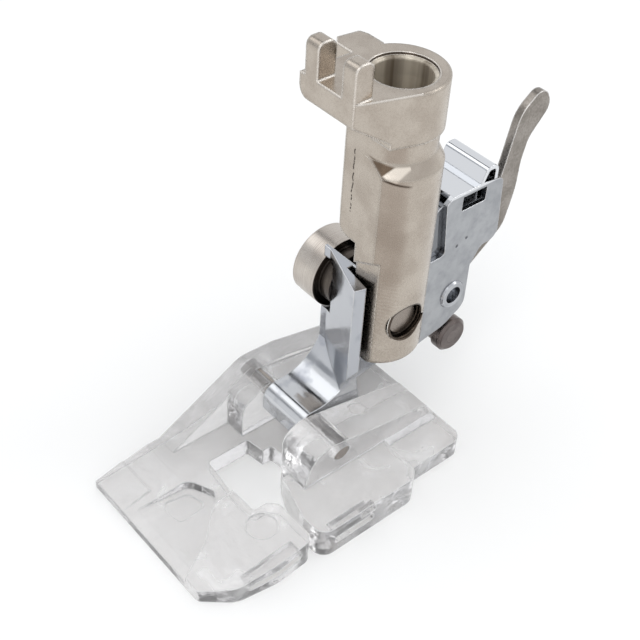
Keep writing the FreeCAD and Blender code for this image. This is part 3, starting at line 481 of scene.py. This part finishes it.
# Nickel on turned steel: a little pinker than the casting, with sharp fine rings.
# Painted shade darkens its collar and its tip in the hole: from x to x, with the tone
nickelScrew = {
    "light": "#c9c2ba",
    "dark": "#aaa199",
    "centre": (0, -0.35, 19.2),
    "pitch": 0.11,
    "mottle": 3.0,
    "rough": (0.22, 0.34),
    "anisotropic": 0.3,
    "bump": 0.16,
    "edge": 0.12,
    "crease": 2.4,
    "openAt": 0.8,
    "deepest": 0.30,
    "paintedShadeBands": [(-5.14, -2.0, "#5b544e"), (2.5, 3.9, "#958c84")],
}

# Bare turned steel: bright, with a thin shine of oil
rivetSteel = {
    "light": "#c2c4c8",
    "dark": "#a3a5a9",
    "centre": (0, 10.0, 15.06),
    "pitch": 0.18,
    "mottle": 1.5,
    "rough": (0.12, 0.24),
    "anisotropic": 0.0,
    "bump": 0.3,
    "edge": 0.06,
    "crease": 0.5,
    "openAt": 0.6,
    "deepest": 0.05,
}

# Blackened steel: brown grey, with a dull shine and faint lathe rings
darkStud = {
    "light": "#766e6b",
    "dark": "#59514f",
    "centre": (0, 11.3, 8.4),
    "pitch": 0.16,
    "mottle": 1.2,
    "rough": (0.24, 0.36),
    "anisotropic": 0.0,
    "bump": 0.4,
    "edge": 0.08,
    "crease": 0.8,
    "openAt": 0.6,
    "deepest": 0.05,
}

# Drawn steel rod: seen as a warm grey stripe through the plastic
barSteel = {
    "light": "#a9a39d",
    "dark": "#8e8781",
    "centre": (0, -8.45, 6.85),
    "pitch": 0.25,
    "mottle": 2.0,
    "rough": (0.18, 0.30),
    "anisotropic": 0.0,
    "bump": 0.2,
    "edge": 0.08,
    "crease": 0.1,
    "openAt": 0.6,
    "deepest": 0.05,
}


# Bright chrome over a polished casting: a near mirror that the plating leaves slightly wavy and pitted, with
# a greyer bloom in patches, painted shade in the bloom's grey over the lip, and a dull, darker grey wing from
# y 5.2 mm back
chromeCasting = {
    "light": "#cacccf",
    "bloom": "#a9acb3",
    "blooms": 3.2,
    "bloomRange": (0.52, 0.66),
    "paintedLipShade": 0.65,  # how much of the bloom's grey lies over the lip as painted shade
    "lipFrom": (9.0, 12.5),
    "wing": "#606265",
    "wingFrom": (5.2, 5.8),
    "wingShare": 0.75,
    "waves": 1.1,  # orange peel of the casting under the chrome
    "waveBump": 0.5,
    "waveDepth": 0.012,
    "pits": 0.16,
    "pitBump": 0.12,
    "pitDepth": 0.01,
    "rough": (0.10, 0.22),
    "roughRange": (0.4, 0.65),
    "edge": 0.18,
    "edgeWearHighlight": "#f0f1f3",
    "paintedEdgeShade": "#7f8288",
    "crease": 0.9,
    "deepest": 0.35,
}


def brightChrome():
    finish = chromeCasting
    material, tree, place, shader = startFinish("brightChromeCasting", {"Metallic": 1.0})
    axes = addNode(tree, "SeparateXYZ", links={"Vector": place}).outputs
    bloom = addNode(tree, "TexNoise", {"Scale": scaleOf(finish["blooms"]), "Detail": 3.0}, {"Vector": place})
    waves = addNode(tree, "TexNoise", {"Scale": scaleOf(finish["waves"]), "Detail": 2.0}, {"Vector": place})
    pits = addNode(tree, "TexNoise", {"Scale": scaleOf(finish["pits"]), "Detail": 2.0}, {"Vector": place})
    patch = addNode(tree, "MapRange", {"From": finish["bloomRange"]}, {"Value": bloom.outputs["Fac"]})
    # Painted shade over the lip, rising with height
    upper = addNode(tree, "MapRange", {"From": metres(finish["lipFrom"]), "To": (0.0, finish["paintedLipShade"])},
                    {"Value": axes["Z"]})
    bloomed = addNode(tree, "Math", {"operation": "MAXIMUM"},
                      {0: patch.outputs["Result"], 1: upper.outputs["Result"]})
    base = addNode(tree, "Mix", {"data_type": "RGBA", 6: linear(finish["light"]), 7: linear(finish["bloom"])},
                   {0: bloomed.outputs["Value"]})
    # A darker grey from y 5.2 mm back
    behind = addNode(tree, "MapRange", {"From": metres(finish["wingFrom"]), "To": (0.0, finish["wingShare"])},
                     {"Value": axes["Y"]})
    dull = addNode(tree, "Mix", {"data_type": "RGBA", 7: linear(finish["wing"])},
                   {0: behind.outputs["Result"], 6: base.outputs[2]})
    # Edges: wear with a painted highlight and painted shade lines; below, painted shade in creases
    edge, wornAndPaintedColour = edgeWearAndPaintedLight(tree, dull.outputs[2], finish)
    rough = addNode(tree, "MapRange", {"From": finish["roughRange"], "To": finish["rough"]},
                    {"Value": bloom.outputs["Fac"]})
    wavy = addNode(tree, "Bump", {"Strength": finish["waveBump"], "Distance": finish["waveDepth"] * mm},
                   {"Height": waves.outputs["Fac"], "Normal": edge})
    pitted = addNode(tree, "Bump", {"Strength": finish["pitBump"], "Distance": finish["pitDepth"] * mm},
                     {"Height": pits.outputs["Fac"], "Normal": wavy.outputs["Normal"]})
    tree.links.new(paintedCreaseShade(tree, wornAndPaintedColour, finish), shader.inputs["Base Color"])
    tree.links.new(rough.outputs["Result"], shader.inputs["Roughness"])
    tree.links.new(pitted.outputs["Normal"], shader.inputs["Normal"])
    return material


# Chromed pressed sheet: its sides are a frosted, faintly clouded grey with two small punch dents in painted
# shade, its folded top and the spring are polished and painted brighter, a painted highlight
chromeSheet = {
    "light": "#a9abae",
    "cloud": "#989a9e",
    "clouds": 1.6,
    "cloudRange": (0.38, 0.66),
    "polishedAndHighlit": "#dcdee1",
    "polishedRough": 0.07,
    "polishedBlur": 0.05,
    "housingPolish": 27.9,  # the height that the polish starts from
    "springPolish": 20.0,
    "rough": (0.14, 0.26),
    "roughRange": (0.35, 0.65),
    "pits": 0.14,
    "pitBump": 0.12,
    "pitDepth": 0.01,
    "edge": 0.12,
    "edgeWearHighlight": "#f0f1f3",
    "paintedEdgeShade": "#7b7e84",
    "crease": 0.9,
    "deepest": 0.05,
    "dents": [(9.6, 21.6), (10.9, 22.1)],  # y and z
    "dentRadii": (0.06, 0.26),
    "dentBump": 1.0,
    "dentDepth": 0.12,
    "paintedDentShade": "#5a5c62",
}


def sheetChrome(name, polishedFrom, withDents):
    finish = chromeSheet
    material, tree, place, shader = startFinish(name, {"Metallic": 1.0})
    axes = addNode(tree, "SeparateXYZ", links={"Vector": place}).outputs
    cloud = addNode(tree, "TexNoise", {"Scale": scaleOf(finish["clouds"]), "Detail": 4.0, "Roughness": 0.6},
                    {"Vector": place})
    pits = addNode(tree, "TexNoise", {"Scale": scaleOf(finish["pits"]), "Detail": 2.0}, {"Vector": place})
    tone = addNode(tree, "MapRange", {"From": finish["cloudRange"]}, {"Value": cloud.outputs["Fac"]})
    base = addNode(tree, "Mix", {"data_type": "RGBA", 6: linear(finish["light"]), 7: linear(finish["cloud"])},
                   {0: tone.outputs["Result"]})
    rough = addNode(tree, "MapRange", {"From": finish["roughRange"], "To": finish["rough"]},
                    {"Value": cloud.outputs["Fac"]})
    # Above a height: polished, and painted brighter as a highlight
    blur = finish["polishedBlur"]
    folded = addNode(tree, "MapRange", {"From": metres((polishedFrom - blur, polishedFrom + blur))},
                     {"Value": axes["Z"]}).outputs["Result"]
    bright = addNode(tree, "Mix", {"data_type": "RGBA", 7: linear(finish["polishedAndHighlit"])},
                     {0: folded, 6: base.outputs[2]})
    gloss = addNode(tree, "Mix", {3: finish["polishedRough"]}, {0: folded, 2: rough.outputs["Result"]})
    # Edges: wear with a painted highlight and painted shade lines; at the end, painted shade in creases
    edge, shade = edgeWearAndPaintedLight(tree, bright.outputs[2], finish)
    normal = addNode(tree, "Bump", {"Strength": finish["pitBump"], "Distance": finish["pitDepth"] * mm},
                     {"Height": pits.outputs["Fac"], "Normal": edge}).outputs["Normal"]
    if withDents:
        flat = addNode(tree, "CombineXYZ", links={"Y": axes["Y"], "Z": axes["Z"]})
        for spot in finish["dents"]:
            apart = addNode(tree, "VectorMath", {"operation": "DISTANCE", 1: metres((0.0, *spot))},
                            {0: flat.outputs["Vector"]})
            smooth = {"interpolation_type": "SMOOTHSTEP", "From": metres(finish["dentRadii"])}
            dent = addNode(tree, "MapRange", smooth, {"Value": apart.outputs["Value"]}).outputs["Result"]
            pressed = {"Strength": finish["dentBump"], "Distance": finish["dentDepth"] * mm}
            normal = addNode(tree, "Bump", pressed, {"Height": dent, "Normal": normal}).outputs["Normal"]
            # Painted shade in each dent
            shade = addNode(tree, "Mix", {"data_type": "RGBA", 6: linear(finish["paintedDentShade"])},
                            {0: dent, 7: shade}).outputs[2]
    tree.links.new(paintedCreaseShade(tree, shade, finish), shader.inputs["Base Color"])
    tree.links.new(gloss.outputs[0], shader.inputs["Roughness"])
    tree.links.new(normal, shader.inputs["Normal"])
    return material


# Stamped steel, tumbled: warm grey, evenly frosted, with brighter edges, partly rubbed and partly a painted
# highlight
leverSteel = {
    "light": "#9b958f",
    "dark": "#7f7972",
    "toneRange": (0.78, 1.22),
    "patches": 2.2,
    "grain": 0.26,
    "grainBump": 0.35,
    "grainDepth": 0.012,
    "rough": (0.22, 0.36),
    "roughRange": (0.3, 0.7),
    "edge": 0.26,
    "edgeWearHighlight": "#f1eeea",
    "paintedEdgeShade": "#5f5955",
    "crease": 0.8,
    "deepest": 0.2,
}


def tumbledSteel():
    finish = leverSteel
    material, tree, place, shader = startFinish("tumbledSteelStamping", {"Metallic": 1.0})
    grain = addNode(tree, "TexNoise", {"Scale": scaleOf(finish["grain"]), "Detail": 4.0}, {"Vector": place})
    patches = addNode(tree, "TexNoise", {"Scale": scaleOf(finish["patches"]), "Detail": 3.0},
                      {"Vector": place})
    both = addNode(tree, "Math", {"operation": "ADD"}, {0: grain.outputs["Fac"], 1: patches.outputs["Fac"]})
    tone = addNode(tree, "MapRange", {"From": finish["toneRange"]}, {"Value": both.outputs["Value"]})
    base = addNode(tree, "Mix", {"data_type": "RGBA", 6: linear(finish["light"]), 7: linear(finish["dark"])},
                   {0: tone.outputs["Result"]})
    rough = addNode(tree, "MapRange", {"From": finish["roughRange"], "To": finish["rough"]},
                    {"Value": patches.outputs["Fac"]})
    # Edges: wear with a painted highlight and painted shade lines; below, painted shade in creases
    edge, wornAndPaintedColour = edgeWearAndPaintedLight(tree, base.outputs[2], finish)
    bumped = addNode(tree, "Bump", {"Strength": finish["grainBump"], "Distance": finish["grainDepth"] * mm},
                     {"Height": grain.outputs["Fac"], "Normal": edge})
    tree.links.new(paintedCreaseShade(tree, wornAndPaintedColour, finish), shader.inputs["Base Color"])
    tree.links.new(rough.outputs["Result"], shader.inputs["Roughness"])
    tree.links.new(bumped.outputs["Normal"], shader.inputs["Normal"])
    return material


# Injection moulded acrylic: clear, with soft sink waves, handling scuffs, a faint mist, painted highlights on
# its edges, painted shade lines beside them and painted shade in its creases. Lamps pass through it, so that
# its shadow stays as pale as the real one's
clearAcrylic = {
    "body": "#f5f4f4",
    "pale": "#ffffff",
    "paintedEdgeShade": "#cfcdce",  # the painted shade line that runs beside an edge
    "shade": "#fafafa",  # what a lamp's light keeps at each face
    "clear": 0.84,
    "frosted": 0.42,  # how clear the edges under their painted highlight and the misty patches stay
    "ior": 1.49,
    "mist": 4.5,
    "mistRange": (0.50, 0.74),
    "mistShare": 0.5,
    "mistWarp": 0.6,
    "waves": 2.4,
    "waveWarp": 0.4,
    "waveBump": 0.9,
    "waveDepth": 0.14,
    "scuffs": 0.35,
    "scuffRange": (0.45, 0.7),
    "scuffBump": 0.15,
    "scuffDepth": 0.01,
    "rough": (0.05, 0.17),
    "edge": 0.26,
    "crease": 0.9,
    "deepest": 0.62,
}


def mouldedAcrylic():
    finish = clearAcrylic
    material, tree, place, shader = startFinish(
        "mouldedClearAcrylic", {"Transmission Weight": finish["clear"], "IOR": finish["ior"]})
    waves = addNode(tree, "TexNoise", {"Scale": scaleOf(finish["waves"]), "Detail": 3.5,
                                       "Distortion": finish["waveWarp"]}, {"Vector": place})
    scuffs = addNode(tree, "TexNoise", {"Scale": scaleOf(finish["scuffs"]), "Detail": 5.0, "Roughness": 0.7},
                     {"Vector": place})
    mist = addNode(tree, "TexNoise", {"Scale": scaleOf(finish["mist"]), "Detail": 3.0,
                                      "Distortion": finish["mistWarp"]}, {"Vector": place})
    misty = addNode(tree, "MapRange", {"From": finish["mistRange"], "To": (0.0, finish["mistShare"])},
                    {"Value": mist.outputs["Fac"]})
    # Painted highlights on the edges, with the misty patches, and painted shade lines beside the edges
    edge, edgeWearAndHighlight, paintedEdgeShade = softEdges(tree, finish["edge"])
    pale = addNode(tree, "Math", {"operation": "MAXIMUM"}, {0: edgeWearAndHighlight, 1: misty.outputs["Result"]})
    lined = addNode(tree, "Mix", {"data_type": "RGBA", 6: linear(finish["body"]), 7: linear(finish["paintedEdgeShade"])},
                    {0: paintedEdgeShade})
    paler = addNode(tree, "Mix", {"data_type": "RGBA", 7: linear(finish["pale"])},
                    {0: pale.outputs["Value"], 6: lined.outputs[2]})
    # Seen from inside the body every face is clear, so that light isn't lost in it
    clearness = addNode(tree, "MapRange", {"To": (finish["clear"], finish["frosted"])},
                        {"Value": pale.outputs["Value"]})
    inside = addNode(tree, "NewGeometry").outputs["Backfacing"]
    seen = addNode(tree, "Mix", {3: 1.0}, {0: inside, 2: clearness.outputs["Result"]})
    dulled = addNode(tree, "MapRange", {"From": finish["scuffRange"], "To": finish["rough"]},
                     {"Value": scuffs.outputs["Fac"]})
    sunk = addNode(tree, "Bump", {"Strength": finish["waveBump"], "Distance": finish["waveDepth"] * mm},
                   {"Height": waves.outputs["Fac"], "Normal": edge})
    scuffed = addNode(tree, "Bump", {"Strength": finish["scuffBump"], "Distance": finish["scuffDepth"] * mm},
                      {"Height": scuffs.outputs["Fac"], "Normal": sunk.outputs["Normal"]})
    # Painted shade in creases
    tree.links.new(paintedCreaseShade(tree, paler.outputs[2], finish), shader.inputs["Base Color"])
    tree.links.new(seen.outputs[0], shader.inputs["Transmission Weight"])
    tree.links.new(dulled.outputs["Result"], shader.inputs["Roughness"])
    tree.links.new(scuffed.outputs["Normal"], shader.inputs["Normal"])
    pane = addNode(tree, "BsdfTransparent", {"Color": linear(finish["shade"])})
    ray = addNode(tree, "LightPath")
    through = addNode(tree, "MixShader", links={0: ray.outputs["Is Shadow Ray"], 1: shader.outputs["BSDF"],
                                                2: pane.outputs["BSDF"]})
    output = [node for node in tree.nodes if node.type == "OUTPUT_MATERIAL"][0]
    tree.links.new(through.outputs["Shader"], output.inputs["Surface"])
    return material


finishes = {
    "adapter_body": nickelCasting(),
    "thumb_screw": turnedMetal("nickelPlatedTurnedSteel", nickelScrew),
    "ankle_body": brightChrome(),
    "release_lever": tumbledSteel(),
    "latch_housing": sheetChrome("chromedSheetSteel", chromeSheet["housingPolish"], True),
    "lever_spring": sheetChrome("chromedSpringSteel", chromeSheet["springPolish"], False),
    "pivot_rivet": turnedMetal("turnedRivetSteel", rivetSteel),
    "stop_stud": turnedMetal("blackenedTurnedSteel", darkStud),
    "foot_bar": turnedMetal("drawnSteelRod", barSteel),
    "foot_sole": mouldedAcrylic(),
}
for node, material in finishes.items():
    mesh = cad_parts[node].data
    mesh.materials.clear()
    mesh.materials.append(material)
print("finishes assigned:", len(finishes))


# The visible thread in the mouth of the clamp screw's hole: a small triangle wound along x
mouthThread = {
    "centre": (-0.35, 19.2),  # y and z
    "radius": 2.05,
    "depth": 0.20,
    "pitch": 0.7,
    "start": 2.9,
    "turns": 2,
    "steps": 40,
    "merge": 0.001,
    "smoothAngle": 35,
}


def addMouthThread():
    made = mouthThread
    bpy.ops.object.select_all(action="DESELECT")
    bpy.ops.mesh.primitive_circle_add(vertices=3, radius=made["depth"] * mm, fill_type="NOTHING",
                                      location=(0, 0, 0), rotation=(0, 0, 0))
    thread = bpy.context.object
    thread.name = "mouth_thread"
    bpy.ops.object.mode_set(mode="EDIT")
    bpy.ops.mesh.select_all(action="SELECT")
    bpy.ops.transform.translate(value=(0, made["radius"] * mm, 0))
    bpy.ops.object.mode_set(mode="OBJECT")
    screw = thread.modifiers.new("winding", "SCREW")
    screw.axis = "X"
    screw.steps = screw.render_steps = made["steps"]
    screw.iterations = made["turns"]
    screw.screw_offset = made["pitch"] * mm
    bpy.ops.object.modifier_apply(modifier="winding")
    bpy.ops.object.mode_set(mode="EDIT")
    bpy.ops.mesh.select_all(action="SELECT")
    bpy.ops.transform.translate(value=metres((made["start"], *made["centre"])))
    bpy.ops.mesh.remove_doubles(threshold=made["merge"] * mm)
    bpy.ops.mesh.normals_make_consistent(inside=False)
    bpy.ops.object.mode_set(mode="OBJECT")
    bpy.ops.object.shade_smooth_by_angle(angle=math.radians(made["smoothAngle"]))
    thread.data.materials.append(finishes["adapter_body"])
    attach(thread, "holder")


addMouthThread()
print("thread added")
